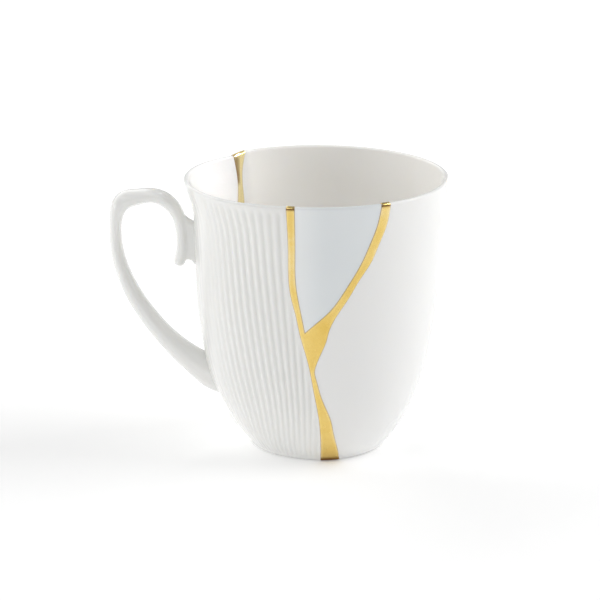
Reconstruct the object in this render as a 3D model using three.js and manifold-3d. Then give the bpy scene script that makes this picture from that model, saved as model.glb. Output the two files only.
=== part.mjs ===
// A porcelain mug mended from three shards of different cups with broad gold seams.
// The left shard is fluted and carries the handle, a pale triangle sits at the front of the rim,
// and the right shard is smooth. The gold fills the joints through the whole wall.
// Millimetres, +Z up, +X to the right, the handle at -X, the forked seam at the front, -Y.
// The origin is on the mug's axis, in the plane that the foot stands on.
import * as THREE from "three";
import { mergeVertices } from "three/addons/utils/BufferGeometryUtils.js";
import Module from "manifold-3d";

const wasm = await Module();
wasm.setup();

// Overall sizes
const HEIGHT = 92.6;
const FLOOR_HEIGHT = 4.4;
const RECESS_DEPTH = 0.6;
const RECESS_RADIUS = 17.4;
const FOOT_RING_WIDTH = 3.6;
const LIP_WALL = 1.7;
const FOOT_WALL = 4.4;
const RIM_EASE = 0.35;

// Gaps and gold
const GAP = 0.3;
const GOLD_PROUD = 0.2;

// Outer walls of the two cups: [height, radius]
const SMOOTH_WALL = [
  [0, 22.4], [5.6, 27.0], [13, 31.2], [24, 35.5], [39, 38.8], [54, 40.9], [70, 42.3], [83, 43.2],
  [HEIGHT, 43.7],
];
const RIBBED_WALL = [
  [0, 21.8], [5.6, 26.3], [13, 30.8], [24, 35.9], [39, 39.2], [54, 40.7], [68, 41.0], [78, 41.4],
  [84, 42.2], [88, 43.4], [HEIGHT, 44.7],
];
const BLEND_ANGLE = 26;
const RIM_DROP_AT_BACK = 1.0;

// Flutes: they start upright at the rim, drift towards the front on the way down and back at the foot.
// The most that one drifts at each height, [height, degrees], and its share by its angle at the rim
const FLUTE_PITCH = 4.0;
const FLUTE_PHASE = -16.4;
const FLUTE_DEPTH = 0.45;
const FLUTE_DRIFT = [
  [0, 0], [5, 1.6], [8, 3.0], [12, 4.7], [16, 6.2], [20, 7.1], [25, 7.6], [30, 7.3], [40, 6.0],
  [50, 4.6], [60, 3.1], [70, 1.6], [80, 0.5], [86, 0.1], [HEIGHT, 0],
];
const FLUTE_DRIFT_SHARE = [
  [-150, 0], [-120, 0.3], [-85, 0.9], [-60, 1.0], [-44.3, 1.0], [-36.3, 0.94], [-28.3, 0.82],
  [-20.3, 0.6], [-16.3, 0.47], [-12.3, 0.35], [-4, 0.15], [6, 0],
];
const FLUTE_TOP = 91.2;
const FLUTE_FADE = 2.4;
const FLUTE_SEAM_FADE = 3.0;
const FLUTED_FROM = -150;
const FLUTED_TO = 14;

// Edges of the shards on the wall: [height, angle round the axis in degrees], with 0 at the front and
// growing to the right
const RIBBED_FRONT_EDGE = [
  [0, 3.1], [6, 2.6], [17, 1.2], [28.8, -1.8], [39, -4.4], [49, -8.0], [55.8, -9.8], [62, -11.8],
  [68, -12.7], [77, -12.7], [HEIGHT, -13.4],
];
const SMOOTH_FRONT_EDGE = [
  [0, 18.9], [5.8, 14.1], [12.7, 9.8], [17.7, 7.6], [22.2, 4.7], [26.9, 1.9], [33, -0.5], [36, -1.3],
  [38.9, -0.3], [42.5, 1.7], [46.5, 4.0], [49.8, 5.1], [53.7, 7.2], [61.8, 14.2], [67.6, 18.8],
  [73.3, 24.0], [79.1, 27.5], [84.8, 30.7], [HEIGHT, 32.6],
];
const TRIANGLE_LEFT_EDGE = [
  [50, -5.9], [55.9, -7.3], [62, -8.8], [68, -9.7], [77, -9.7], [HEIGHT, -9.8],
];
const TRIANGLE_RIGHT_EDGE = [
  [50, -5.5], [52.8, -1.2], [57.4, 5.6], [62, 10.3], [67.8, 15.2], [73.6, 19.7], [79.5, 23.2],
  [85.2, 26.2], [HEIGHT, 28.3],
];
const RIBBED_BACK_EDGE = [
  [0, -136], [15, -139], [30, -142], [45, -139.5], [60, -136.5], [76, -138.1], [83.6, -138.7],
  [HEIGHT, -136.8],
];
const SMOOTH_BACK_EDGE = [
  [0, -144], [15, -145], [30, -147], [45, -143.4], [60, -140.8], [76, -141.8], [86, -141.6],
  [HEIGHT, -143.8],
];

// The crack across the foot, seen from above: its left and its right side
const CRACK_LEFT = [[-4.6, -12.5], [-9.6, -1], [-11, 8]];
const CRACK_RIGHT = [[0.2, -14.5], [-6.8, -1.4], [-8.4, 8.4]];

// Handle: [x, z, thickness, width] along its spine, from the lower joint to the scroll's tip
const HANDLE_SPINE = [
  [-28.6, 18.6, 6.8, 9.6], [-35.2, 23.5, 10.8, 10.4], [-39.6, 26.6, 9.6, 10.0], [-44.4, 30.3, 8.1, 9.3],
  [-49.0, 34.5, 7.0, 8.8], [-53.6, 39.6, 6.3, 8.5], [-58.3, 45.9, 5.8, 8.2], [-62.3, 52.6, 5.3, 8.0],
  [-65.2, 59.4, 4.7, 7.9], [-67.0, 66.2, 4.2, 7.8], [-67.55, 72.5, 4.0, 7.8], [-67.3, 77.8, 4.3, 7.9],
  [-66.3, 81.3, 5.2, 8.0], [-64.2, 83.6, 5.6, 8.0], [-60.4, 84.9, 4.8, 8.0], [-55.9, 85.6, 4.7, 8.0],
  [-51.6, 84.5, 4.7, 7.9], [-48.5, 82.0, 4.5, 7.7], [-46.5, 78.6, 4.2, 7.4], [-45.5, 74.4, 3.9, 7.0],
  [-45.3, 69.9, 3.6, 6.4], [-45.8, 65.9, 3.0, 5.6], [-46.3, 63.3, 2.6, 5.2],
];
const HANDLE_SIDES = 12;
const HANDLE_STEPS = 34;

// Web between the upper end of the handle and the wall: its outline in the plane of the handle, [x, z]
const WEB_OUTLINE = [
  [-38.8, 75.6], [-41.3, 76.4], [-43.0, 77.4], [-45.4, 79.4], [-45.2, 72], [-45.7, 66], [-45.6, 63.0],
  [-43.0, 62.9], [-41.4, 62.2], [-38.8, 60.6],
];
const WEB_WIDTH = 5.2;

// Fineness of the surfaces, and the reach of the cutting regions
const SMOOTH_COLUMN_STEP = 6;
const FLUTE_COLUMN_STEP = FLUTE_PITCH / 2;
const OUTER_HEIGHTS = [1.0, 5, 11, 19, 29, 42, 56, 69, 79, 85, 89];
const INNER_HEIGHTS = [85, 64, 40, 21, 9.5];
const FLOOR_SHARES = [[0.92, 0.16], [0.72, 0.03]];
const CUT_STEP = 4.5;
const CUT_MARGIN = 6;
const FAR_RADIUS = 62;
const WALL_REACH = 2.2;
const THICKENING = 2.2;
const LATHE_SEGMENTS = 48;
const SAME_POINT = 1e-3;

// A smooth curve through stations [place, value], its slope at each the mean of the slopes on both sides
function valueAt(stations, place) {
  const last = stations.length - 1;
  if (place <= stations[0][0]) return stations[0][1];
  if (place >= stations[last][0]) return stations[last][1];
  let index = 0;
  while (place > stations[index + 1][0]) index++;
  const slopeBetween = (i) =>
    (stations[i + 1][1] - stations[i][1]) / (stations[i + 1][0] - stations[i][0]);
  const slopeAt = (i) => {
    if (i === 0) return slopeBetween(0);
    if (i === last) return slopeBetween(last - 1);
    return (slopeBetween(i - 1) + slopeBetween(i)) / 2;
  };
  const [start, from] = stations[index];
  const [end, to] = stations[index + 1];
  const span = end - start;
  const t = (place - start) / span;
  const rise = t * t * (3 - 2 * t);
  const leaving = t * (1 - t) * (1 - t) * span * slopeAt(index);
  const arriving = t * t * (t - 1) * span * slopeAt(index + 1);
  return from + (to - from) * rise + leaving + arriving;
}

// 0 below the first value, 1 above the second, and a smooth rise between them
function easeBetween(low, high, value) {
  return THREE.MathUtils.smoothstep(value, low, high);
}

// A point at an angle round the axis, in degrees from the front
function polar(radius, angle, height) {
  const turn = THREE.MathUtils.degToRad(angle);
  return new THREE.Vector3(radius * Math.sin(turn), -radius * Math.cos(turn), height);
}

// The wall is thin at the lip and thickens towards the foot
function wallThickness(height) {
  return LIP_WALL + (FOOT_WALL - LIP_WALL) * Math.pow(1 - height / HEIGHT, THICKENING);
}

// How far the left shard takes on its own cup's profile: not at its seams, and wholly away from them
function ribbedShare(angle, height) {
  const fromFront = valueAt(RIBBED_FRONT_EDGE, height) - angle;
  const fromBack = angle - valueAt(RIBBED_BACK_EDGE, height);
  return easeBetween(0, BLEND_ANGLE, fromFront) * easeBetween(0, BLEND_ANGLE, fromBack);
}

function ribbedRadius(angle, height) {
  const smooth = valueAt(SMOOTH_WALL, height);
  return smooth + (valueAt(RIBBED_WALL, height) - smooth) * ribbedShare(angle, height);
}

// The left shard's rim falls a little from the front seam to the back one
function ribbedRim(angle) {
  const front = valueAt(RIBBED_FRONT_EDGE, HEIGHT);
  const back = valueAt(RIBBED_BACK_EDGE, HEIGHT);
  return HEIGHT - RIM_DROP_AT_BACK * THREE.MathUtils.clamp((front - angle) / (front - back), 0, 1);
}

// Where the flute that has this angle at the rim stands at another height
function driftedAngle(angle, height) {
  return angle + valueAt(FLUTE_DRIFT, height) * valueAt(FLUTE_DRIFT_SHARE, angle);
}

// How deep the wall is cut at a flute column: the flutes fade at rim, foot and seams
function fluteCut(columnAngle, angle, height) {
  const turn = ((columnAngle - FLUTE_PHASE) / FLUTE_PITCH) * 2 * Math.PI;
  const valley = (1 + Math.cos(turn)) / 2;
  const fromFront = valueAt(RIBBED_FRONT_EDGE, height) - angle;
  const fromBack = angle - valueAt(RIBBED_BACK_EDGE, height);
  const seamFade = easeBetween(0, FLUTE_SEAM_FADE, Math.min(fromFront, fromBack));
  const topFade = 1 - easeBetween(FLUTE_TOP - FLUTE_FADE, FLUTE_TOP, height);
  const footFade = easeBetween(0, FLUTE_FADE, height);
  return FLUTE_DEPTH * valley * seamFade * topFade * footFade;
}

// One column of the shell: half a section, from the foot's centre over the rim to the floor's centre
function shellColumn({ angleAt, radiusAt, cutAt, rim, outward, inward, lift }) {
  const points = [];
  const add = (radius, angle, height) => points.push(polar(radius, angle, height));
  const footAngle = angleAt(0);
  const footRadius = radiusAt(footAngle, 0);
  add(0, 0, RECESS_DEPTH);
  add(RECESS_RADIUS, footAngle, RECESS_DEPTH);
  add(footRadius - FOOT_RING_WIDTH, footAngle, 0);
  add(footRadius - RIM_EASE, footAngle, 0);
  for (const height of OUTER_HEIGHTS) {
    const angle = angleAt(height);
    add(radiusAt(angle, height) + outward - cutAt(angle, height), angle, height);
  }
  const rimAngle = angleAt(HEIGHT);
  const rimRadius = radiusAt(rimAngle, HEIGHT);
  const top = rim(rimAngle) + lift;
  add(rimRadius + outward, rimAngle, top - RIM_EASE * 2);
  add(rimRadius + outward - RIM_EASE, rimAngle, top - RIM_EASE / 3);
  add(rimRadius - LIP_WALL / 2, rimAngle, top);
  add(rimRadius - LIP_WALL - inward + RIM_EASE, rimAngle, top - RIM_EASE / 3);
  add(rimRadius - LIP_WALL - inward, rimAngle, top - RIM_EASE * 2);
  for (const height of INNER_HEIGHTS) {
    const angle = angleAt(height);
    add(radiusAt(angle, height) - wallThickness(height) - inward, angle, height);
  }
  const lowest = INNER_HEIGHTS[INNER_HEIGHTS.length - 1];
  const lowestAngle = angleAt(lowest);
  const lowestRadius = radiusAt(lowestAngle, lowest) - wallThickness(lowest);
  const floor = FLOOR_HEIGHT + inward;
  for (const [share, rise] of FLOOR_SHARES)
    add(lowestRadius * share, lowestAngle, floor + (lowest - FLOOR_HEIGHT) * rise);
  add(0, 0, floor);
  return points;
}

// A closed shell from its columns: all the way round, or with its two end columns filled in
function shellGeometry(columns, goesRound) {
  const rows = columns[0].length;
  const positions = [];
  const triangles = [];
  for (const column of columns)
    for (const point of column) positions.push(point.x, point.y, point.z);
  const spans = goesRound ? columns.length : columns.length - 1;
  for (let column = 0; column < spans; column++) {
    const here = column * rows;
    const next = ((column + 1) % columns.length) * rows;
    for (let row = 0; row < rows - 1; row++) {
      if (row > 0) triangles.push(here + row, next + row, here + row + 1);
      if (row < rows - 2) triangles.push(next + row, next + row + 1, here + row + 1);
    }
  }
  if (!goesRound) {
    const section = columns[0].map((point) => new THREE.Vector2(Math.hypot(point.x, point.y), point.z));
    const last = (columns.length - 1) * rows;
    for (const [a, b, c] of THREE.ShapeUtils.triangulateShape(section, [])) {
      triangles.push(a, b, c);
      triangles.push(last + a, last + c, last + b);
    }
  }
  return indexedGeometry(positions, triangles);
}

function indexedGeometry(positions, triangles) {
  const geometry = new THREE.BufferGeometry();
  geometry.setAttribute("position", new THREE.Float32BufferAttribute(positions, 3));
  geometry.setIndex(triangles);
  return geometry;
}

// Between a geometry and a solid, both ways
function solidFrom(geometry) {
  const bare = geometry.clone();
  bare.deleteAttribute("normal");
  bare.deleteAttribute("uv");
  const merged = mergeVertices(bare, SAME_POINT);
  const solid = new wasm.Manifold(
    new wasm.Mesh({
      numProp: 3,
      vertProperties: merged.attributes.position.array,
      triVerts: new Uint32Array(merged.index.array),
    }),
  );
  if (solid.volume() > 0) return solid;
  const turned = merged.clone();
  for (let i = 0; i < turned.index.count; i += 3) {
    const second = turned.index.getX(i + 1);
    turned.index.setX(i + 1, turned.index.getX(i + 2));
    turned.index.setX(i + 2, second);
  }
  return solidFrom(turned);
}

function geometryFrom(solid) {
  const mesh = solid.getMesh();
  const positions = [];
  for (let i = 0; i < mesh.numVert; i++)
    positions.push(...mesh.vertProperties.subarray(i * mesh.numProp, i * mesh.numProp + 3));
  const flat = indexedGeometry(positions, Array.from(mesh.triVerts)).toNonIndexed();
  flat.computeVertexNormals();
  return flat;
}

// A solid lofted through plan outlines, one at each cutting height
function loftedRegion(outlineAt, lowest, highest) {
  const steps = Math.ceil((highest - lowest) / CUT_STEP);
  const heights = Array.from({ length: steps + 1 }, (_, i) => lowest + ((highest - lowest) * i) / steps);
  const outlines = heights.map((height) => {
    const outline = outlineAt(THREE.MathUtils.clamp(height, 0, HEIGHT));
    return THREE.ShapeUtils.isClockWise(outline) ? outline.reverse() : outline;
  });
  const count = outlines[0].length;
  const positions = [];
  const triangles = [];
  outlines.forEach((outline, level) => {
    for (const point of outline) positions.push(point.x, point.y, heights[level]);
  });
  for (let level = 0; level < steps; level++)
    for (let i = 0; i < count; i++) {
      const next = (i + 1) % count;
      const low = level * count;
      const high = low + count;
      triangles.push(low + i, low + next, high + next, low + i, high + next, high + i);
    }
  const capAt = (level) => THREE.ShapeUtils.triangulateShape(outlines[level], []);
  for (const [a, b, c] of capAt(0)) triangles.push(a, c, b);
  const top = steps * count;
  for (const [a, b, c] of capAt(steps)) triangles.push(top + a, top + b, top + c);
  return solidFrom(indexedGeometry(positions, triangles));
}

// Plan points at one height, for the regions that part the shards
function planPoint(radius, angle) {
  const point = polar(radius, angle, 0);
  return new THREE.Vector2(point.x, point.y);
}

function innerReach(height) {
  return Math.max(RECESS_RADIUS + 1, valueAt(SMOOTH_WALL, height) - WALL_REACH * FOOT_WALL);
}

// The side of the mug that one shard fills, down to the crack across the foot.
// The growth moves its edges outwards, into the gold.
function sideRegion(frontEdge, backEdge, crack, farAngles, growth) {
  const side = Math.sign(farAngles[0]);
  return loftedRegion(
    (height) => {
      const spread = THREE.MathUtils.radToDeg(growth / valueAt(SMOOTH_WALL, height)) * side;
      const front = valueAt(frontEdge, height) - spread;
      const back = valueAt(backEdge, height) + spread;
      const reach = innerReach(height);
      return [
        planPoint(FAR_RADIUS, front),
        planPoint(reach, front),
        ...crack.map(([x, y]) => new THREE.Vector2(x - growth * side, y)),
        planPoint(reach, back),
        planPoint(FAR_RADIUS, back),
        ...farAngles.map((angle) => planPoint(FAR_RADIUS, angle)),
      ];
    },
    -CUT_MARGIN,
    HEIGHT + CUT_MARGIN,
  );
}

// The triangle at the front of the rim, between its two seams
function triangleRegion(growth) {
  const tip = TRIANGLE_LEFT_EDGE[0][0];
  return loftedRegion(
    (height) => {
      const spread = THREE.MathUtils.radToDeg(growth / valueAt(SMOOTH_WALL, height));
      const left = valueAt(TRIANGLE_LEFT_EDGE, height) - spread;
      const right = valueAt(TRIANGLE_RIGHT_EDGE, height) + spread;
      const reach = innerReach(height);
      return [
        planPoint(FAR_RADIUS, left),
        planPoint(FAR_RADIUS, right),
        planPoint(reach, right),
        planPoint(reach, left),
      ];
    },
    tip - growth,
    HEIGHT + CUT_MARGIN,
  );
}

// The whole shells that the shards and the gold are cut from
function smoothShell(outward, inward, lift) {
  const columns = [];
  for (let angle = 0; angle < 360; angle += SMOOTH_COLUMN_STEP)
    columns.push(
      shellColumn({
        angleAt: () => angle,
        radiusAt: (_, height) => valueAt(SMOOTH_WALL, height),
        cutAt: () => 0,
        rim: () => HEIGHT,
        outward,
        inward,
        lift,
      }),
    );
  return solidFrom(shellGeometry(columns, true));
}

function ribbedShell() {
  const columns = [];
  const count = Math.round((FLUTED_TO - FLUTED_FROM) / FLUTE_COLUMN_STEP);
  const before = Math.round((FLUTED_FROM - FLUTE_PHASE) / FLUTE_COLUMN_STEP);
  const firstColumn = FLUTE_PHASE + before * FLUTE_COLUMN_STEP;
  for (let i = 0; i <= count; i++) {
    const columnAngle = firstColumn + i * FLUTE_COLUMN_STEP;
    columns.push(
      shellColumn({
        angleAt: (height) => driftedAngle(columnAngle, height),
        radiusAt: ribbedRadius,
        cutAt: (angle, height) => fluteCut(columnAngle, angle, height),
        rim: ribbedRim,
        outward: 0,
        inward: 0,
        lift: 0,
      }),
    );
  }
  return solidFrom(shellGeometry(columns, false));
}

// The handle's strap: rounded sections along the spine, closed at both ends
function handleStrap() {
  const spine = new THREE.CatmullRomCurve3(
    HANDLE_SPINE.map(([x, z]) => new THREE.Vector3(x, 0, z)),
    false,
    "centripetal",
  );
  const last = HANDLE_SPINE.length - 1;
  const sizeAt = (t, which) => valueAt(HANDLE_SPINE.map((station, i) => [i / last, station[which]]), t);
  const positions = [];
  const triangles = [];
  for (let step = 0; step <= HANDLE_STEPS; step++) {
    const t = step / HANDLE_STEPS;
    const centre = spine.getPoint(t);
    const along = spine.getTangent(t);
    const across = new THREE.Vector3(-along.z, 0, along.x);
    for (let side = 0; side < HANDLE_SIDES; side++) {
      const turn = (2 * Math.PI * side) / HANDLE_SIDES;
      const point = centre.clone().addScaledVector(across, (Math.cos(turn) * sizeAt(t, 2)) / 2);
      point.y += (Math.sin(turn) * sizeAt(t, 3)) / 2;
      positions.push(point.x, point.y, point.z);
    }
  }
  for (let step = 0; step < HANDLE_STEPS; step++)
    for (let side = 0; side < HANDLE_SIDES; side++) {
      const next = (side + 1) % HANDLE_SIDES;
      const low = step * HANDLE_SIDES;
      const high = low + HANDLE_SIDES;
      triangles.push(low + side, low + next, high + next, low + side, high + next, high + side);
    }
  for (let side = 1; side < HANDLE_SIDES - 1; side++) {
    const top = HANDLE_STEPS * HANDLE_SIDES;
    triangles.push(0, side + 1, side, top, top + side, top + side + 1);
  }
  return solidFrom(indexedGeometry(positions, triangles));
}

function handleWeb() {
  const outline = new THREE.Shape(WEB_OUTLINE.map(([x, z]) => new THREE.Vector2(x, z)));
  const plate = new THREE.ExtrudeGeometry(outline, { depth: WEB_WIDTH, bevelEnabled: false });
  plate.rotateX(Math.PI / 2);
  plate.translate(0, WEB_WIDTH / 2, 0);
  return solidFrom(plate);
}

// The space inside the mug, reaching half way into the wall, so that the handle's ends stay in the wall
function cavityForHandle() {
  const profile = [new THREE.Vector2(0, FLOOR_HEIGHT)];
  for (const height of [...INNER_HEIGHTS].reverse()) {
    const narrowerWall = Math.min(valueAt(SMOOTH_WALL, height), valueAt(RIBBED_WALL, height));
    const radius = narrowerWall - wallThickness(height) + LIP_WALL / 2;
    profile.push(new THREE.Vector2(radius, height));
  }
  profile.push(new THREE.Vector2(0, INNER_HEIGHTS[0]));
  const lathe = new THREE.LatheGeometry(profile, LATHE_SEGMENTS);
  lathe.rotateX(Math.PI / 2);
  return solidFrom(lathe);
}

// Glazes and gold
const RIBBED_GLAZE = new THREE.MeshStandardMaterial({ color: 0xf1f1ee, roughness: 0.16, metalness: 0 });
const RIM_GLAZE = new THREE.MeshStandardMaterial({ color: 0xdde2e7, roughness: 0.14, metalness: 0 });
const SMOOTH_GLAZE = new THREE.MeshStandardMaterial({ color: 0xf4f4f2, roughness: 0.14, metalness: 0 });
const GOLD = new THREE.MeshStandardMaterial({ color: 0xe0b85c, roughness: 0.2, metalness: 1 });

const LEFT_FAR_ANGLES = [-115, -90, -65, -38];
const RIGHT_FAR_ANGLES = [190, 165, 140, 115, 90, 65];
const leftRegion = (growth) =>
  sideRegion(RIBBED_FRONT_EDGE, RIBBED_BACK_EDGE, CRACK_LEFT, LEFT_FAR_ANGLES, growth);
const rightRegion = (growth) =>
  sideRegion(SMOOTH_FRONT_EDGE, SMOOTH_BACK_EDGE, CRACK_RIGHT, RIGHT_FAR_ANGLES, growth);

const plainShell = smoothShell(0, 0, 0);
const handle = handleStrap().add(handleWeb()).subtract(cavityForHandle());
const pieces = {
  ribbed_shard: [ribbedShell().intersect(leftRegion(0)).add(handle), RIBBED_GLAZE],
  rim_shard: [plainShell.intersect(triangleRegion(0)), RIM_GLAZE],
  smooth_shard: [plainShell.intersect(rightRegion(0)), SMOOTH_GLAZE],
  gold_seam: [
    smoothShell(GOLD_PROUD, GOLD_PROUD, GOLD_PROUD)
      .subtract(leftRegion(GAP))
      .subtract(rightRegion(GAP))
      .subtract(triangleRegion(GAP)),
    GOLD,
  ],
};

const mug = new THREE.Group();
for (const [name, [solid, material]] of Object.entries(pieces)) {
  const mesh = new THREE.Mesh(geometryFrom(solid), material);
  mesh.name = name;
  mug.add(mesh);
}

export default mug;
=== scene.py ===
"""A porcelain mug pieced from three shards of different cups, joined by broad gold seams.

The left shard is fluted and carries the handle, a pale triangle sits at the front of the rim,
and the right shard is smooth. Sizes are in millimetres and meshes are made in metres.
Angles are in degrees round the mug's axis, 0 at the front and growing to the right.
"""
import logging
import math
from dataclasses import dataclass, fields
from enum import Enum

import bmesh
import bpy
import numpy as np
from mathutils import Euler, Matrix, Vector


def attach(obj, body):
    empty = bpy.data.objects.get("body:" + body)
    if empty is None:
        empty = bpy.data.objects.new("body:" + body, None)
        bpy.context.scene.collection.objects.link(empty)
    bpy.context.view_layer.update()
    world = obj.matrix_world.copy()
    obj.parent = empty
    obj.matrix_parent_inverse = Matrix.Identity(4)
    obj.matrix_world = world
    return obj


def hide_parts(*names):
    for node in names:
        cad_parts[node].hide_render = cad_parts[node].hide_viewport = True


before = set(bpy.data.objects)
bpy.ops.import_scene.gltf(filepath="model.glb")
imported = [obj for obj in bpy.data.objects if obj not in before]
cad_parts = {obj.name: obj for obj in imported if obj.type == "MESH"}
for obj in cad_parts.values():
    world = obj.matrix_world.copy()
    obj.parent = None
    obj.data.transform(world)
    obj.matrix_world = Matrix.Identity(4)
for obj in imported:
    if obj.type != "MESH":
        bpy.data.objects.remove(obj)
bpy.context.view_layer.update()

MM = 0.001
# A length in millimetres that is too small to matter
HAIR = 1e-6
WHITE = (1.0, 1.0, 1.0, 1.0)
BODY = "root"
LOG = logging.getLogger("kintsugi_mug")

Stations = tuple[tuple[float, ...], ...]
Colour = tuple[float, float, float]
Span = tuple[float, float]
TreeSizes = dict[str, tuple[str, object]]


class Side(Enum):
    """The two faces of the cup's wall."""

    OUTER = "outer"
    INNER = "inner"


class Seam(Enum):
    """The edges of the shards, where the gold begins."""

    RIBBED_FRONT = "ribbed_front"
    SMOOTH_FRONT = "smooth_front"
    TRIANGLE_LEFT = "triangle_left"
    TRIANGLE_RIGHT = "triangle_right"
    RIBBED_BACK = "ribbed_back"
    SMOOTH_BACK = "smooth_back"


# Curves and small helpers


@dataclass(frozen=True)
class StationCurve:
    """A curve that bends evenly through its stations, each a place and a value."""

    stations: Stations

    def at(self, places: np.ndarray | float) -> np.ndarray:
        """Values of the curve.

        Args:
            places: Places along the curve; those beyond its ends take the end's value.

        Returns:
            One value for each place.
        """
        x, y = np.array(self.stations, float).T
        gap = np.diff(x)
        slope = np.diff(y) / gap
        count = len(x)
        system = np.eye(count)
        right = np.zeros(count)
        for i in range(1, count - 1):
            system[i, i - 1: i + 2] = gap[i - 1], 2 * (gap[i - 1] + gap[i]), gap[i]
            right[i] = 6 * (slope[i] - slope[i - 1])
        bend = np.linalg.solve(system, right)
        place = np.clip(np.asarray(places, float), x[0], x[-1])
        i = np.clip(np.searchsorted(x, place) - 1, 0, count - 2)
        t = (place - x[i]) / gap[i]
        cubic = ((1 - t) ** 3 - (1 - t)) * bend[i] + (t**3 - t) * bend[i + 1]
        return (1 - t) * y[i] + t * y[i + 1] + gap[i] ** 2 / 6 * cubic


def ease(low: float, high: float, value: np.ndarray) -> np.ndarray:
    """Smooth rise from 0 at the low value to 1 at the high one."""
    t = np.clip((np.asarray(value, float) - low) / (high - low), 0, 1)
    return t * t * (3 - 2 * t)


def between(start: np.ndarray, end: np.ndarray, shares: np.ndarray) -> np.ndarray:
    """Values by row and column, from each row's start to its end."""
    return start[:, None] + (end - start)[:, None] * shares[None]


def polar(radius: np.ndarray, angle: np.ndarray, height: np.ndarray) -> np.ndarray:
    """Points round the mug's axis.

    Args:
        radius: Distances from the axis.
        angle: Angles round it.
        height: Heights above the plane that the mug stands on.

    Returns:
        The points, with their coordinates along the last axis.
    """
    turn = np.radians(angle)
    parts = np.broadcast_arrays(radius * np.sin(turn), -radius * np.cos(turn), height)
    return np.stack(parts, axis=-1)


def mesh_object(name: str, points: np.ndarray, faces: list[tuple[int, ...]]) -> bpy.types.Object:
    """A mesh object at the origin, smooth shaded, with its faces turned outwards.

    Args:
        name: The object's name.
        points: Vertices in millimetres.
        faces: Vertex numbers of each face.

    Returns:
        The new object, in the scene.
    """
    mesh = bpy.data.meshes.new(name)
    mesh.from_pydata((points * MM).tolist(), [], faces)
    shape = bmesh.new()
    shape.from_mesh(mesh)
    bmesh.ops.recalc_face_normals(shape, faces=shape.faces)
    if shape.calc_volume(signed=True) < 0:
        bmesh.ops.reverse_faces(shape, faces=shape.faces)
    shape.to_mesh(mesh)
    shape.free()
    mesh.shade_smooth()
    made = bpy.data.objects.new(name, mesh)
    bpy.context.scene.collection.objects.link(made)
    return made


def set_point_values(target: bpy.types.Object, name: str, values: np.ndarray) -> None:
    """Stores one number for each vertex under an attribute's name."""
    attribute = target.data.attributes.new(name, "FLOAT", "POINT")
    attribute.data.foreach_set("value", values.astype(np.float32))


def settled(target: bpy.types.Object) -> bpy.types.Object:
    """Turns an object's modifiers into its own plain mesh and removes them.

    Args:
        target: The object with its modifiers.

    Returns:
        The same object without them.
    """
    bpy.context.view_layer.update()
    evaluated = target.evaluated_get(bpy.context.evaluated_depsgraph_get())
    plain = bpy.data.meshes.new_from_object(evaluated)
    target.modifiers.clear()
    target.data = plain
    return target


def joined(target: bpy.types.Object, other: bpy.types.Object, operation: str) -> bpy.types.Object:
    """Joins another closed body to the target, or cuts it away, and deletes the other.

    Args:
        target: The body that stays.
        other: The body that is used up.
        operation: UNION or DIFFERENCE.

    Returns:
        The target, with its new mesh.
    """
    modifier = target.modifiers.new("join", "BOOLEAN")
    modifier.operation = operation
    modifier.solver = "MANIFOLD"
    modifier.object = other
    settled(target)
    bpy.data.objects.remove(other)
    return target


def without_slivers(body: bpy.types.Object, shortest: float) -> bpy.types.Object:
    """Closes up edges that a join has left too short, and splits its many-sided faces into triangles.

    Args:
        body: The joined body.
        shortest: The length in millimetres under which an edge is closed up.

    Returns:
        The body, still closed.
    """
    mesh = bmesh.new()
    mesh.from_mesh(body.data)
    bmesh.ops.dissolve_degenerate(mesh, dist=shortest * MM, edges=mesh.edges[:])
    many_sided = [face for face in mesh.faces if len(face.verts) > 4]
    bmesh.ops.triangulate(mesh, faces=many_sided, ngon_method="BEAUTY")
    mesh.to_mesh(body.data)
    mesh.free()
    return body


# Node trees written as expressions


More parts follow.
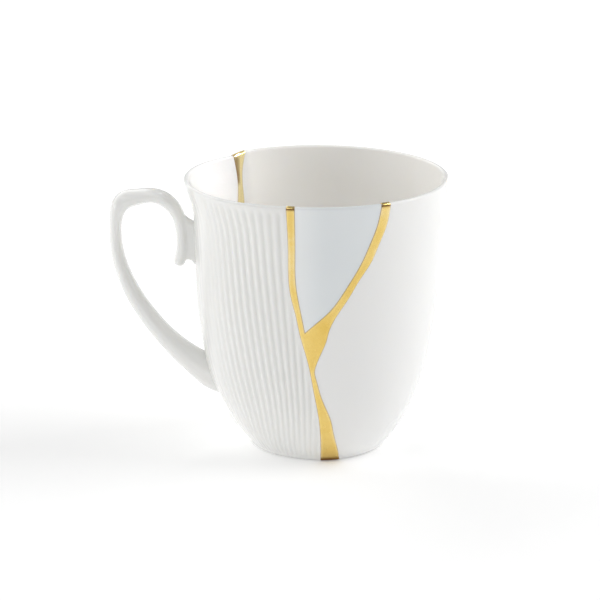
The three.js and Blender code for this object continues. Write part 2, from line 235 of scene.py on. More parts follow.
class Graph:
    """Adds nodes to one node tree."""

    def __init__(self, tree: bpy.types.NodeTree) -> None:
        """Keeps the tree that the nodes go into."""
        self.tree = tree

    def node(self, kind: str, settings: dict | None = None, inputs: dict | None = None) -> bpy.types.Node:
        """Adds one node.

        Args:
            kind: The node's type.
            settings: The node's own settings, set first; "stops" are a ramp's places and colours.
            inputs: Values or links of its sockets, by name or number.

        Returns:
            The new node.
        """
        made = self.tree.nodes.new(kind)
        for name, value in (settings or {}).items():
            if name == "stops":
                self._set_stops(made.color_ramp, value)
            else:
                setattr(made, name, value)
        for key, value in (inputs or {}).items():
            self.feed(made.inputs[key], value)
        return made

    def feed(self, socket: bpy.types.NodeSocket, value: object) -> None:
        """Links a term to a socket, or sets the socket's own value.

        Args:
            socket: The input that is fed.
            value: A term, another node's output, or a plain value.
        """
        if isinstance(value, Term):
            value = value.socket
        if isinstance(value, bpy.types.NodeSocket):
            self.tree.links.new(value, socket)
        else:
            socket.default_value = value

    def term(self, kind: str, settings: dict | None = None, inputs: dict | None = None,
             output: str | int = 0) -> "Term":
        """Adds a node and gives one of its outputs as a term."""
        return Term(self, self.node(kind, settings, inputs).outputs[output])

    def noise(self, place: "Term", scale: float, detail: float) -> "Term":
        """Noise of one scale, with some finer detail."""
        return self.term("ShaderNodeTexNoise", {}, {"Vector": place, "Scale": scale, "Detail": detail})

    def carried(self, name: str) -> "Term":
        """A number that the mesh carries under an attribute's name, read in a material."""
        return self.term("ShaderNodeAttribute", {"attribute_name": name}, output="Fac")

    def stored(self, name: str) -> "Term":
        """A number that the mesh carries under an attribute's name, read in Geometry Nodes."""
        return self.term("GeometryNodeInputNamedAttribute", {"data_type": "FLOAT"}, {"Name": name})

    def bump(self, height: "Term", strength: float, distance: float) -> "Term":
        """The normal of a surface with a fine relief."""
        return self.term("ShaderNodeBump", {}, {"Strength": strength, "Distance": distance, "Height": height})

    def mixed(self, share: "Term", first: "Term | Colour", second: "Term | Colour") -> "Term":
        """A colour between two, the first at share 0 and the second at share 1."""
        ends = [(*end, 1.0) if isinstance(end, tuple) else end for end in (first, second)]
        return self.term("ShaderNodeMix", {"data_type": "RGBA"}, {0: share, 6: ends[0], 7: ends[1]}, output=2)

    def surface(self, inputs: dict) -> None:
        """Ends a material's tree in a Principled shader with these inputs."""
        shader = self.node("ShaderNodeBsdfPrincipled", {}, inputs)
        self.node("ShaderNodeOutputMaterial", {}, {"Surface": shader.outputs[0]})

    @staticmethod
    def _set_stops(ramp: bpy.types.ColorRamp, stops: list[tuple[float, Colour]]) -> None:
        """Gives a colour ramp its stops.

        Args:
            ramp: A new node's ramp.
            stops: The place and colour of each stop, in order.
        """
        while len(ramp.elements) < len(stops):
            ramp.elements.new(1.0)
        for element, (place, colour) in zip(ramp.elements, stops):
            element.position = place
            element.color = (*colour, 1.0)


@dataclass(frozen=True)
class Term:
    """A socket that can be written in sums."""

    graph: Graph
    socket: bpy.types.NodeSocket

    def math(self, operation: str, *others: "Term | float") -> "Term":
        """One Math node on this term and the others."""
        inputs = dict(enumerate((self, *others)))
        return self.graph.term("ShaderNodeMath", {"operation": operation}, inputs)

    def __add__(self, other: "Term | float") -> "Term":
        """This term and another."""
        return self.math("ADD", other)

    __radd__ = __add__

    def __sub__(self, other: "Term | float") -> "Term":
        """This term less another."""
        return self.math("SUBTRACT", other)

    def __rsub__(self, other: float) -> "Term":
        """A number less this term."""
        return self.graph.term("ShaderNodeMath", {"operation": "SUBTRACT"}, {0: other, 1: self})

    def __mul__(self, other: "Term | float") -> "Term":
        """This term times another."""
        return self.math("MULTIPLY", other)

    __rmul__ = __mul__

    def __truediv__(self, other: "Term | float") -> "Term":
        """This term over another."""
        return self.math("DIVIDE", other)

    def __pow__(self, other: "Term | float") -> "Term":
        """This term to a power."""
        return self.math("POWER", other)

    def rise(self, low: float, high: float) -> "Term":
        """Smooth rise from 0 at the low value to 1 at the high one."""
        inputs = {"Value": self, "From Min": low, "From Max": high}
        return self.graph.term("ShaderNodeMapRange", {"interpolation_type": "SMOOTHSTEP"}, inputs)


def weighed(terms: tuple[Term, ...], weights: tuple[float, ...]) -> Term:
    """The sum of some terms, each times its weight."""
    parts = [term * weight for term, weight in zip(terms, weights)]
    return sum(parts[1:], parts[0])


def emptied(holder: bpy.types.Material | bpy.types.World) -> Graph:
    """Clears the node tree of a new material or world.

    Args:
        holder: The material or world.

    Returns:
        The graph that its nodes are added with.
    """
    holder.use_nodes = True
    holder.node_tree.nodes.clear()
    return Graph(holder.node_tree)


# The form of the cups


@dataclass(frozen=True)
class Rows:
    """One face of the wall in section, from the crack in the base to the top of the lip.

    The arrays hold, for each row, the radius and height on the plain cup, the two parts of the
    outward normal, and how far a row of the base has left the crack (1 on all other rows).
    """

    radius: np.ndarray
    height: np.ndarray
    normal_out: np.ndarray
    normal_up: np.ndarray
    share: np.ndarray

    def only(self, kept: np.ndarray) -> "Rows":
        """The rows that are marked as kept."""
        return Rows(*(getattr(self, field.name)[kept] for field in fields(self)))


@dataclass(frozen=True)
class CupForm:
    """The profiles that the shards are cut from."""

    height: float = 92.6
    floor_height: float = 4.4
    recess_depth: float = 0.6
    recess_radius: float = 17.4
    ring_inner_radius: float = 18.8
    foot_round: float = 1.0
    lip_wall: float = 1.7
    foot_wall: float = 4.4
    thickening: float = 2.2
    lip_round: float = 0.8
    fillet_start: float = 15.5
    fillet_top: float = 11.0
    tip_height: float = 50.0
    blend_angle: float = 26.0
    rim_drop: float = 1.0
    drop_from: float = 70.0
    base_rows: int = 9
    slope_rows: int = 5
    ring_rows: tuple[float, ...] = (0.35, 0.7, 1.0)
    foot_turns: tuple[float, ...] = (18, 36, 54, 72)
    fillet_rows: int = 12
    floor_pull: float = 1.6
    wall_pull: float = 2.0
    lip_turns: tuple[float, ...] = (14, 28, 42, 56, 70, 83)
    smooth_wall: StationCurve = StationCurve((
        (0, 22.4), (5.6, 27.0), (13, 31.2), (24, 35.5), (39, 38.8), (54, 40.9), (70, 42.3),
        (83, 43.2), (92.6, 43.7),
    ))
    ribbed_wall: StationCurve = StationCurve((
        (0, 21.8), (5.6, 26.3), (13, 30.8), (24, 35.9), (39, 39.2), (54, 40.7), (68, 41.0),
        (78, 41.4), (84, 42.2), (88, 43.4), (92.6, 44.7),
    ))

    def thickness(self, height: np.ndarray) -> np.ndarray:
        """The wall's thickness: thin at the lip and thicker towards the foot."""
        share = np.clip(1 - height / self.height, 0, 1)
        return self.lip_wall + (self.foot_wall - self.lip_wall) * share**self.thickening

    def wall_heights(self, start: float, below: int, above: int) -> np.ndarray:
        """Heights of the wall's rows, with one row just at the tip of the triangle.

        Args:
            start: The lowest height.
            below: Number of rows from there to the triangle's tip.
            above: Number of rows from the tip to the lip.

        Returns:
            The heights, from below upwards.
        """
        low = np.linspace(start, self.tip_height, below)
        high = np.linspace(self.tip_height, self.height - self.lip_round, above)
        return np.concatenate([low, high[1:]])

    def rows(self, side: Side, below: int, above: int) -> Rows:
        """One face of the wall in section.

        Args:
            side: The outer or the inner face.
            below: Number of rows between the foot and the triangle's tip.
            above: Number of rows between the triangle's tip and the lip.

        Returns:
            The rows, of one number for both faces.
        """
        outer = side is Side.OUTER
        section = self._outer_base() if outer else self._inner_base()
        start = self.foot_round if outer else self.fillet_top
        heights = self.wall_heights(start, below, above)
        radii = self.smooth_wall.at(heights) - (0 if outer else self.thickness(heights))
        section += [(r, z, 1.0) for r, z in zip(radii, heights)]
        section += self._lip(1 if outer else -1)
        radius, height, share = np.array(section).T
        along_r = np.gradient(radius)
        along_z = np.gradient(height)
        along_r[share < 1] = 1.0
        along_z[share < 1] = 0.0
        length = np.hypot(along_r, along_z)
        sign = 1 if outer else -1
        return Rows(radius, height, sign * along_z / length, -sign * along_r / length, share)

    def _outer_base(self) -> list[tuple[float, float, float]]:
        """Rows of the underside: recess, foot ring and the rounded edge of the foot.

        Returns:
            Radius, height and share of each row.
        """
        rows = [(self.recess_radius, self.recess_depth, s) for s in np.linspace(0, 1, self.base_rows)]
        for t in np.linspace(0, 1, self.slope_rows + 1)[1:]:
            radius = self.recess_radius + (self.ring_inner_radius - self.recess_radius) * t
            rows.append((radius, self.recess_depth * (1 - float(ease(0, 1, t))), 1.0))
        outer_edge = float(self.smooth_wall.at(0)) - self.foot_round
        for t in self.ring_rows:
            rows.append((self.ring_inner_radius + (outer_edge - self.ring_inner_radius) * t, 0.0, 1.0))
        reach = float(self.smooth_wall.at(self.foot_round)) - outer_edge
        for turn in np.radians(self.foot_turns):
            rows.append((outer_edge + reach * math.sin(turn), self.foot_round * (1 - math.cos(turn)), 1.0))
        return rows

    def _inner_base(self) -> list[tuple[float, float, float]]:
        """Rows of the floor and of the hollow curve between floor and wall.

        The two pulls are how far the curve keeps to the floor's and to the wall's direction.

        Returns:
            Radius, height and share of each row.
        """
        rows = [(self.fillet_start, self.floor_height, s) for s in np.linspace(0, 1, self.base_rows)]
        step = 0.1
        top, above = np.array([self.fillet_top, self.fillet_top + step])
        end = float(self.smooth_wall.at(top) - self.thickness(top))
        lean = (float(self.smooth_wall.at(above) - self.thickness(above)) - end) / step
        rise = self.fillet_top - self.floor_height
        reach = end - self.fillet_start
        for t in np.arange(1, self.fillet_rows + 1) / (self.fillet_rows + 1):
            to_end = t * t * (3 - 2 * t)
            leave = t * (1 - t) ** 2 * self.floor_pull * reach
            arrive = t * t * (t - 1) * self.wall_pull * rise
            radius = self.fillet_start + reach * to_end + leave + arrive * lean
            rows.append((radius, self.floor_height + rise * to_end + arrive, 1.0))
        return rows

    def _lip(self, sign: int) -> list[tuple[float, float, float]]:
        """Rows of the rounded lip.

        Args:
            sign: 1 for the outer side of its top, -1 for the inner side.

        Returns:
            Radius, height and share of each row.
        """
        half = self.lip_wall / 2
        start = self.height - self.lip_round
        middle = float(self.smooth_wall.at(start)) - half
        rows = []
        for turn in np.radians(self.lip_turns):
            radius = middle + sign * half * math.cos(turn)
            rows.append((radius, start + self.lip_round * math.sin(turn), 1.0))
        return rows


@dataclass(frozen=True)
class Cracks:
    """Where the gold begins: the shards' edges on the wall and across the base."""

    edges: tuple[tuple[Seam, StationCurve], ...] = (
        (Seam.RIBBED_FRONT, StationCurve((
            (0, 3.1), (6, 2.6), (17, 1.2), (28.8, -1.8), (39, -4.4), (49, -8.0), (55.8, -9.8),
            (62, -11.8), (68, -12.7), (77, -12.7), (92.6, -13.4),
        ))),
        (Seam.SMOOTH_FRONT, StationCurve((
            (0, 18.9), (5.8, 14.1), (12.7, 9.8), (17.7, 7.6), (22.2, 4.7), (26.9, 1.9), (33, -0.5),
            (36, -1.3), (38.9, -0.3), (42.5, 1.7), (46.5, 4.0), (49.8, 5.1), (53.7, 7.2),
            (61.8, 14.2), (67.6, 18.8), (73.3, 24.0), (79.1, 27.5), (84.8, 30.7), (92.6, 32.6),
        ))),
        (Seam.TRIANGLE_LEFT, StationCurve((
            (50, -5.9), (55.9, -7.3), (62, -8.8), (68, -9.7), (77, -9.7), (92.6, -9.8),
        ))),
        (Seam.TRIANGLE_RIGHT, StationCurve((
            (50, -5.5), (52.8, -1.2), (57.4, 5.6), (62, 10.3), (67.8, 15.2), (73.6, 19.7),
            (79.5, 23.2), (85.2, 26.2), (92.6, 28.3),
        ))),
        (Seam.RIBBED_BACK, StationCurve((
            (0, -136), (15, -139), (30, -142), (45, -139.5), (60, -136.5), (76, -138.1),
            (83.6, -138.7), (92.6, -136.8),
        ))),
        (Seam.SMOOTH_BACK, StationCurve((
            (0, -144), (15, -145), (30, -147), (45, -143.4), (60, -140.8), (76, -141.8),
            (86, -141.6), (92.6, -143.8),
        ))),
    )
    base_left: Stations = ((-4.6, -12.5), (-9.6, -1.0), (-11.0, 8.0))
    base_right: Stations = ((0.2, -14.5), (-6.8, -1.4), (-8.4, 8.4))

    def angle(self, seam: Seam, height: np.ndarray) -> np.ndarray:
        """The angle of one edge at each height."""
        return dict(self.edges)[seam].at(height)

    @staticmethod
    def base_points(line: Stations, shares: np.ndarray) -> np.ndarray:
        """Points of one edge of the crack across the base.

        Args:
            line: The stations of the edge, from its front end to its rear end.
            shares: How far along the edge each point lies, from 0 to 1.

        Returns:
            Places across and along the mug for each point.
        """
        places = np.linspace(0, 1, len(line))
        return np.stack([StationCurve(tuple(zip(places, part))).at(shares) for part in zip(*line)], axis=-1)


@dataclass(frozen=True)
class Mug:
    """The cup's form and its cracks together, which all pieces of the wall are made from."""

    form: CupForm = CupForm()
    cracks: Cracks = Cracks()

    def from_seams(self, angle: np.ndarray, height: np.ndarray) -> tuple[np.ndarray, np.ndarray]:
        """How many degrees a place on the ribbed shard is away from its front and from its back edge."""
        front, back = (self.cracks.angle(seam, height) for seam in (Seam.RIBBED_FRONT, Seam.RIBBED_BACK))
        return front - angle, angle - back

    def ribbed_swell(self, angle: np.ndarray, height: np.ndarray) -> np.ndarray:
        """How much wider the ribbed shard is than the smooth cup: not at its seams, wholly away from them.

        Args:
            angle: Angles of places on the ribbed shard.
            height: Their heights.

        Returns:
            The difference in radius.
        """
        wider = self.form.ribbed_wall.at(height) - self.form.smooth_wall.at(height)
        from_front, from_back = self.from_seams(angle, height)
        share = ease(0, self.form.blend_angle, from_front) * ease(0, self.form.blend_angle, from_back)
        return wider * share

    def rim_drop(self, angle: np.ndarray, height: np.ndarray) -> np.ndarray:
        """How much the ribbed shard's upper wall is lowered, growing from the front seam to the back.

        Args:
            angle: Angles of places on the ribbed shard.
            height: Their heights before.

        Returns:
            The difference in height.
        """
        top = self.form.height
        front = self.cracks.angle(Seam.RIBBED_FRONT, top)
        back = self.cracks.angle(Seam.RIBBED_BACK, top)
        share = np.clip((front - angle) / (front - back), 0, 1)
        return self.form.rim_drop * share * ease(self.form.drop_from, top, height)

    def sheet(self, rows: Rows, angles: np.ndarray, crack: np.ndarray | None, ribbed: bool) -> np.ndarray:
        """Points of one face of a piece of the wall.

        Args:
            rows: The face in section.
            angles: The angle of each row (first axis) and column (second axis).
            crack: Where each column meets the crack in the base, or None for a piece of the rim.
            ribbed: Whether the piece has the ribbed cup's profile and its lower rim.

        Returns:
            Points by row, column and coordinate.
        """
        radius = np.repeat(rows.radius[:, None], angles.shape[1], axis=1)
        height = np.repeat(rows.height[:, None], angles.shape[1], axis=1)
        if ribbed:
            wall = ease(0, 1, rows.share)[:, None] * (rows.radius > self.form.ring_inner_radius)[:, None]
            radius = radius + self.ribbed_swell(angles, height) * wall
            height = height - self.rim_drop(angles, height)
        points = polar(radius, angles, height)
        if crack is not None:
            share = rows.share[:, None, None]
            points[..., :2] = crack[None] * (1 - share) + points[..., :2] * share
        return points


def grid_faces(numbers: np.ndarray) -> list[tuple[int, ...]]:
    """Quads between the vertices of a grid of vertex numbers."""
    corners = (numbers[:-1, :-1], numbers[:-1, 1:], numbers[1:, 1:], numbers[1:, :-1])
    return list(map(tuple, np.stack([c.ravel() for c in corners], axis=1).tolist()))


def closed_wall(outer: np.ndarray, inner: np.ndarray) -> list[tuple[int, ...]]:
    """Faces of a closed body between two faces of the wall.

    Args:
        outer: Vertex numbers of the outer face, by row and column.
        inner: Those of the inner face, with as many rows and the same or a whole share of the columns.

    Returns:
        The vertex numbers of each face.
    """
    faces = grid_faces(outer) + grid_faces(inner)
    for column in (0, -1):
        faces += grid_faces(np.stack([outer[:, column], inner[:, column]]))
    steps = inner.shape[1] - 1
    times = (outer.shape[1] - 1) // steps
    for row in (0, -1):
        for i in range(steps):
            run = outer[row, i * times:(i + 1) * times + 1].tolist()
            faces.append((*run, int(inner[row, i + 1]), int(inner[row, i])))
    return faces


def wall_piece(name: str, outer: np.ndarray, inner: np.ndarray) -> bpy.types.Object:
    """Builds a closed piece of the wall from the points of its two faces.

    Args:
        name: The object's name.
        outer: Points of the outer face, by row, column and coordinate.
        inner: Those of the inner face.

    Returns:
        The piece, with the attribute inside, which is 1 on its inner face.
    """
    grids = []
    first = 0
    for sheet in (outer, inner):
        rows, columns, _ = sheet.shape
        grids.append(first + np.arange(rows * columns).reshape(rows, columns))
        first += rows * columns
    points = np.concatenate([outer.reshape(-1, 3), inner.reshape(-1, 3)])
    made = mesh_object(name, points, closed_wall(*grids))
    set_point_values(made, "inside", np.repeat([0.0, 1.0], [grids[0].size, grids[1].size]))
    return made


# Finishes


@dataclass(frozen=True)
class PorcelainGlaze:
    """Clear glaze over a white or tinted porcelain body, with another colour inside the cup; where it is
    lighter, that is painted light.
    """

    name: str
    body: Colour
    pooled: Colour
    inner: Colour
    pooling: float = 0.85
    drift_scale: float = 28.0
    drift_span: Span = (0.35, 0.75)
    drifting: float = 0.12
    fine_scale: float = 420.0
    fine_span: Span = (0.3, 0.8)
    roughness: float = 0.09
    roughness_play: float = 0.07
    waviness: float = 0.035
    wave_depth: float = 0.002
    wave_weights: tuple[float, ...] = (0.8, 0.06)
    refraction: float = 1.5
    translucence: float = 0.12
    light_depth: float = 0.0015
    light_tint: Colour = (1.0, 0.9, 0.75)

    def material(self) -> bpy.types.Material:
        """Builds the finish: a soft drift of colour, glaze pooled in the hollows with painted shade there, a
        faintly wavy gloss.

        Returns:
            The glaze.
        """
        made = bpy.data.materials.new(self.name)
        graph = emptied(made)
        place = graph.term("ShaderNodeTexCoord", output="Object")
        drift = graph.noise(place, self.drift_scale, detail=3.0)
        fine = graph.noise(place, self.fine_scale, detail=2.0)
        # Where the mesh is marked pooled the glaze darkens; in the flute valleys that is pooled glaze and
        # painted shade together
        depth = graph.carried("pooled") * self.pooling + drift.rise(*self.drift_span) * self.drifting
        outer_colour = graph.mixed(depth.math("MINIMUM", 1.0), self.body, self.pooled)
        waves = weighed((drift, fine), self.wave_weights)
        graph.surface({
            # The inner colour paints light inside the cup where it is lighter than the outer one
            "Base Color": graph.mixed(graph.carried("inside"), outer_colour, self.inner),
            "Roughness": self.roughness + fine.rise(*self.fine_span) * self.roughness_play,
            "IOR": self.refraction,
            "Subsurface Weight": self.translucence,
            "Subsurface Radius": self.light_tint,
            "Subsurface Scale": self.light_depth,
            "Normal": graph.bump(waves, self.waviness, self.wave_depth),
        })
        return made


@dataclass(frozen=True)
class SeamGold:
    """Burnished gold on lacquer: the gold is mottled, and the lacquer shows as a thin line at its edges.

    lacquer_span and thin_end are distances from that edge in millimetres, and pale_from is a height in
    metres over which the gold grows paler.
    """

    name: str = "kintsugi_gold"
    deep: Colour = (0.73, 0.50, 0.12)
    bright: Colour = (0.81, 0.60, 0.20)
    pale: Colour = (0.89, 0.77, 0.49)
    bright_stop: float = 0.45
    # Painted light: the gold's inner face is mixed towards this paler colour, as a brighter reflection inside
    # the cup
    pale_inside: Colour = (1.0, 0.88, 0.50)
    painted_light_share: float = 0.8
    lacquer: Colour = (0.56, 0.42, 0.27)
    lacquer_span: Span = (0.12, 0.26)
    # The shaded colour is painted shade: dark reflections painted on the gold where its shade attribute is
    # set
    shaded: Colour = (0.25, 0.12, 0.03)
    shade_mottling: float = 0.8
    shade_least: float = 0.6
    mottle_scale: float = 85.0
    grain_scale: float = 900.0
    brush_scale: float = 1400.0
    brush_stretch: float = 0.12
    tone_weights: tuple[float, ...] = (0.75, 0.15, 0.1)
    tone_span: Span = (0.3, 0.7)
    mottling: float = 0.5
    thin_end: float = 1.2
    thin_paling: float = 0.2
    pale_from: Span = (0.060, 0.090)
    rim_paling: float = 0.3
    relief_weights: tuple[float, ...] = (0.5, 0.2, 0.3)
    relief: float = 0.10
    relief_depth: float = 0.0006
    lacquer_metal: float = 0.1
    roughness: float = 0.22
    brush_roughness: float = 0.08
    lacquer_roughness: float = 0.25

    def material(self) -> bpy.types.Material:
        """Builds the finish from the distance to the gold's edge, brush marks and two sizes of mottling.

        Returns:
            The gold.
        """
        made = bpy.data.materials.new(self.name)
        graph = emptied(made)
        place = graph.term("ShaderNodeTexCoord", output="Object")
        stretch = (1.0, 1.0, self.brush_stretch)
        brushed_place = graph.term("ShaderNodeMapping", {}, {"Vector": place, "Scale": stretch})
        mottle = graph.noise(place, self.mottle_scale, detail=3.0)
        grain = graph.noise(place, self.grain_scale, detail=3.0)
        brush = graph.noise(brushed_place, self.brush_scale, detail=2.0)
        marks = (mottle, grain, brush)
        edge = graph.carried("edge_distance")
        shown = edge.rise(*self.lacquer_span)
        thin = 1 - edge.rise(self.lacquer_span[1], self.thin_end)
        height = graph.term("ShaderNodeSeparateXYZ", {}, {0: place}, output="Z")
        mottled = weighed(marks, self.tone_weights).rise(*self.tone_span) * self.mottling
        tone = mottled + thin * self.thin_paling + height.rise(*self.pale_from) * self.rim_paling
        stops = [(0.0, self.deep), (self.bright_stop, self.bright), (1.0, self.pale)]
        colour = graph.term("ShaderNodeValToRGB", {"stops": stops}, {"Fac": tone})
        # Painted light on the inner face: a brighter reflection
        with_painted_light = graph.mixed(graph.carried("inside") * self.painted_light_share, colour, self.pale_inside)
        edged = graph.mixed(shown, self.lacquer, with_painted_light)
        # Painted shade: dark reflections at the foot, under the rim and in a streak inside
        painted_dark = graph.carried("shade") * (mottle * self.shade_mottling + self.shade_least)
        dark = painted_dark.math("MINIMUM", 1.0)
        graph.surface({
            "Base Color": graph.mixed(dark, edged, self.shaded),
            "Metallic": shown * (1 - self.lacquer_metal) + self.lacquer_metal,
            "Roughness": self.roughness + brush * self.brush_roughness + (1 - shown) * self.lacquer_roughness,
            "Normal": graph.bump(weighed(marks, self.relief_weights), self.relief, self.relief_depth),
        })
        return made


@dataclass(frozen=True)
class StudioPaint:
    """Matt white paper under the mug, lit a little from below."""

    name: str = "studio_paper"
    colour: Colour = (0.96, 0.96, 0.96)
    roughness: float = 0.9
    sheen: float = 0.1
    glow: float = 0.15

    def material(self) -> bpy.types.Material:
        """Builds the paper.

        Returns:
            The paper's material.
        """
        made = bpy.data.materials.new(self.name)
        emptied(made).surface({
            "Base Color": (*self.colour, 1.0), "Roughness": self.roughness, "Specular IOR Level": self.sheen,
            "Emission Color": WHITE, "Emission Strength": self.glow,
        })
        return made


def dressed(piece: bpy.types.Object, finish: bpy.types.Material, crease: float) -> bpy.types.Object:
    """Gives a piece its finish and its sharp edges.

    Args:
        piece: The piece, smooth shaded.
        finish: Its only material.
        crease: The angle in degrees from which an edge is shown sharp.

    Returns:
        The same piece.
    """
    piece.data.materials.append(finish)
    piece.data.set_sharp_from_angle(angle=math.radians(crease))
    return piece


# Geometry Nodes


def new_geometry_tree(name: str, sizes: TreeSizes) -> tuple[Graph, bpy.types.Node]:
    """A Geometry Nodes tree with named inputs for its sizes.

    Args:
        name: The tree's name.
        sizes: For each input its socket type and its value.

    Returns:
        The graph and its group input node.
    """
    tree = bpy.data.node_groups.new(name, "GeometryNodeTree")
    tree.interface.new_socket("Geometry", in_out="INPUT", socket_type="NodeSocketGeometry")
    tree.interface.new_socket("Geometry", in_out="OUTPUT", socket_type="NodeSocketGeometry")
    for label, (socket_type, _) in sizes.items():
        tree.interface.new_socket(label, in_out="INPUT", socket_type=socket_type)
    graph = Graph(tree)
    return graph, graph.node("NodeGroupInput")


def grow_with(target: bpy.types.Object, graph: Graph, sizes: TreeSizes) -> bpy.types.Object:
    """Runs a Geometry Nodes tree on an object and keeps the result as its plain mesh.

    Args:
        target: The object that the tree changes.
        graph: The finished tree.
        sizes: For each input its socket type and its value.

    Returns:
        The object with its new mesh.
    """
    modifier = target.modifiers.new(graph.tree.name, "NODES")
    modifier.node_group = graph.tree
    for item in graph.tree.interface.items_tree:
        if item.in_out == "INPUT" and item.name in sizes:
            modifier[item.identifier] = sizes[item.name][1]
    return settled(target)


def end_tree(graph: Graph, geometry: bpy.types.NodeSocket, material: bpy.types.NodeSocket) -> None:
    """Ends a tree in Realize Instances and Set Material.

    Args:
        graph: The tree.
        geometry: The finished geometry.
        material: The input that gives its material.
    """
    real = graph.node("GeometryNodeRealizeInstances", {}, {"Geometry": geometry})
    glazed = graph.node("GeometryNodeSetMaterial", {}, {"Geometry": real.outputs[0], "Material": material})
    graph.node("NodeGroupOutput", {}, {0: glazed.outputs[0]})


@dataclass(frozen=True)
class Flutes:
    """Fine flutes, upright at the rim, that drift towards the front on the way down and back at the foot."""

    pitch: float = 4.0
    phase: float = -16.4
    depth: float = 0.42
    narrowness: float = 1.5
    drift: StationCurve = StationCurve((
        (0, 0.0), (5, 1.6), (8, 3.0), (12, 4.7), (16, 6.2), (20, 7.1), (25, 7.6), (30, 7.3),
        (40, 6.0), (50, 4.6), (60, 3.1), (70, 1.6), (80, 0.5), (86, 0.1), (92.6, 0.0),
    ))
    drift_share: StationCurve = StationCurve((
        (-150, 0.0), (-120, 0.3), (-85, 0.9), (-60, 1.0), (-44.3, 1.0), (-36.3, 0.94), (-28.3, 0.82),
        (-20.3, 0.6), (-16.3, 0.47), (-12.3, 0.35), (-4, 0.15), (6, 0.0),
    ))
    bottom: float = 0.6
    top: float = 91.2
    fade: float = 2.4
    seam_fade: float = 3.0
    depth_share: StationCurve = StationCurve((
        (-140, 0.9), (-118, 0.8), (-98, 0.35), (-80, 0.12), (-66, 0.1), (-56, 0.25), (-47, 0.65), (-38, 0.9),
        (-28, 1.0), (10, 1.0),
    ))
    least_by_foot: float = 0.42
    foot_fade: tuple[float, float] = (2.0, 24.0)
    rounds: int = 12

    def rim_angle(self, angles: np.ndarray, heights: np.ndarray) -> np.ndarray:
        """The angle at the rim of the flute line that passes through each place.

        Args:
            angles: Angles of the places.
            heights: Their heights.

        Returns:
            The angles at the rim, found by rounds of correction.
        """
        most = self.drift.at(heights)
        at_rim = np.array(angles, float)
        for _ in range(self.rounds):
            at_rim = angles - most * self.drift_share.at(at_rim)
        return at_rim

    def room(self, mug: Mug, angles: np.ndarray, heights: np.ndarray) -> np.ndarray:
        """How deep the flutes may be: not at all at rim, foot and seams, and less by the handle.

        Args:
            mug: The mug with its seams.
            angles: Angles of the places.
            heights: Their heights.

        Returns:
            A share of the full depth for each place.
        """
        seams = ease(0, self.seam_fade, np.minimum(*mug.from_seams(angles, heights)))
        ends = (1 - ease(self.top - self.fade, self.top, heights)) * ease(self.bottom, self.fade, heights)
        by_handle = np.clip(self.depth_share.at(angles), 0, 1)
        by_foot = self.least_by_foot + (1 - self.least_by_foot) * ease(*self.foot_fade, heights)
        return seams * ends * by_handle * by_foot

    def cut(self, shard: bpy.types.Object, glaze: bpy.types.Material) -> bpy.types.Object:
        """Cuts the flutes into a shard that carries the attributes flute_room and flute_angle.

        Args:
            shard: The shard, with a plain outer face.
            glaze: The glaze that the shard is left with.

        Returns:
            The fluted shard, with the attribute pooled where glaze gathers in the valleys and painted shade
            darkens them.
        """
        sizes = {
            "Pitch": ("NodeSocketFloat", self.pitch),
            "Phase": ("NodeSocketFloat", self.phase),
            "Depth": ("NodeSocketFloat", self.depth * MM),
            "Narrowness": ("NodeSocketFloat", self.narrowness),
            "Glaze": ("NodeSocketMaterial", glaze),
        }
        graph, given = new_geometry_tree("flutes", sizes)
        size = {name: Term(graph, given.outputs[name]) for name in sizes}
        turn = (graph.stored("flute_angle") - size["Phase"]) / size["Pitch"] * math.tau
        valley = ((turn.math("COSINE") + 1.0) * 0.5) ** size["Narrowness"] * graph.stored("flute_room")
        where = graph.term("GeometryNodeInputPosition")
        level = graph.term("ShaderNodeVectorMath", {"operation": "MULTIPLY"}, {0: where, 1: (1.0, 1.0, 0.0)})
        outward = graph.term("ShaderNodeVectorMath", {"operation": "NORMALIZE"}, {0: level})
        move = graph.term("ShaderNodeVectorMath", {"operation": "SCALE"}, {
            0: outward, "Scale": valley * size["Depth"] * -1.0,
        })
        moved = graph.node("GeometryNodeSetPosition", {}, {"Geometry": given.outputs[0], "Offset": move})
        # The valleys are marked pooled: their darker glaze is pooled glaze and painted shade
        marked = graph.node("GeometryNodeStoreNamedAttribute", {"data_type": "FLOAT", "domain": "POINT"}, {
            "Geometry": moved.outputs[0], "Name": "pooled", "Value": valley,
        })
        end_tree(graph, marked.outputs[0], given.outputs["Glaze"])
        return grow_with(shard, graph, sizes)


# The pieces


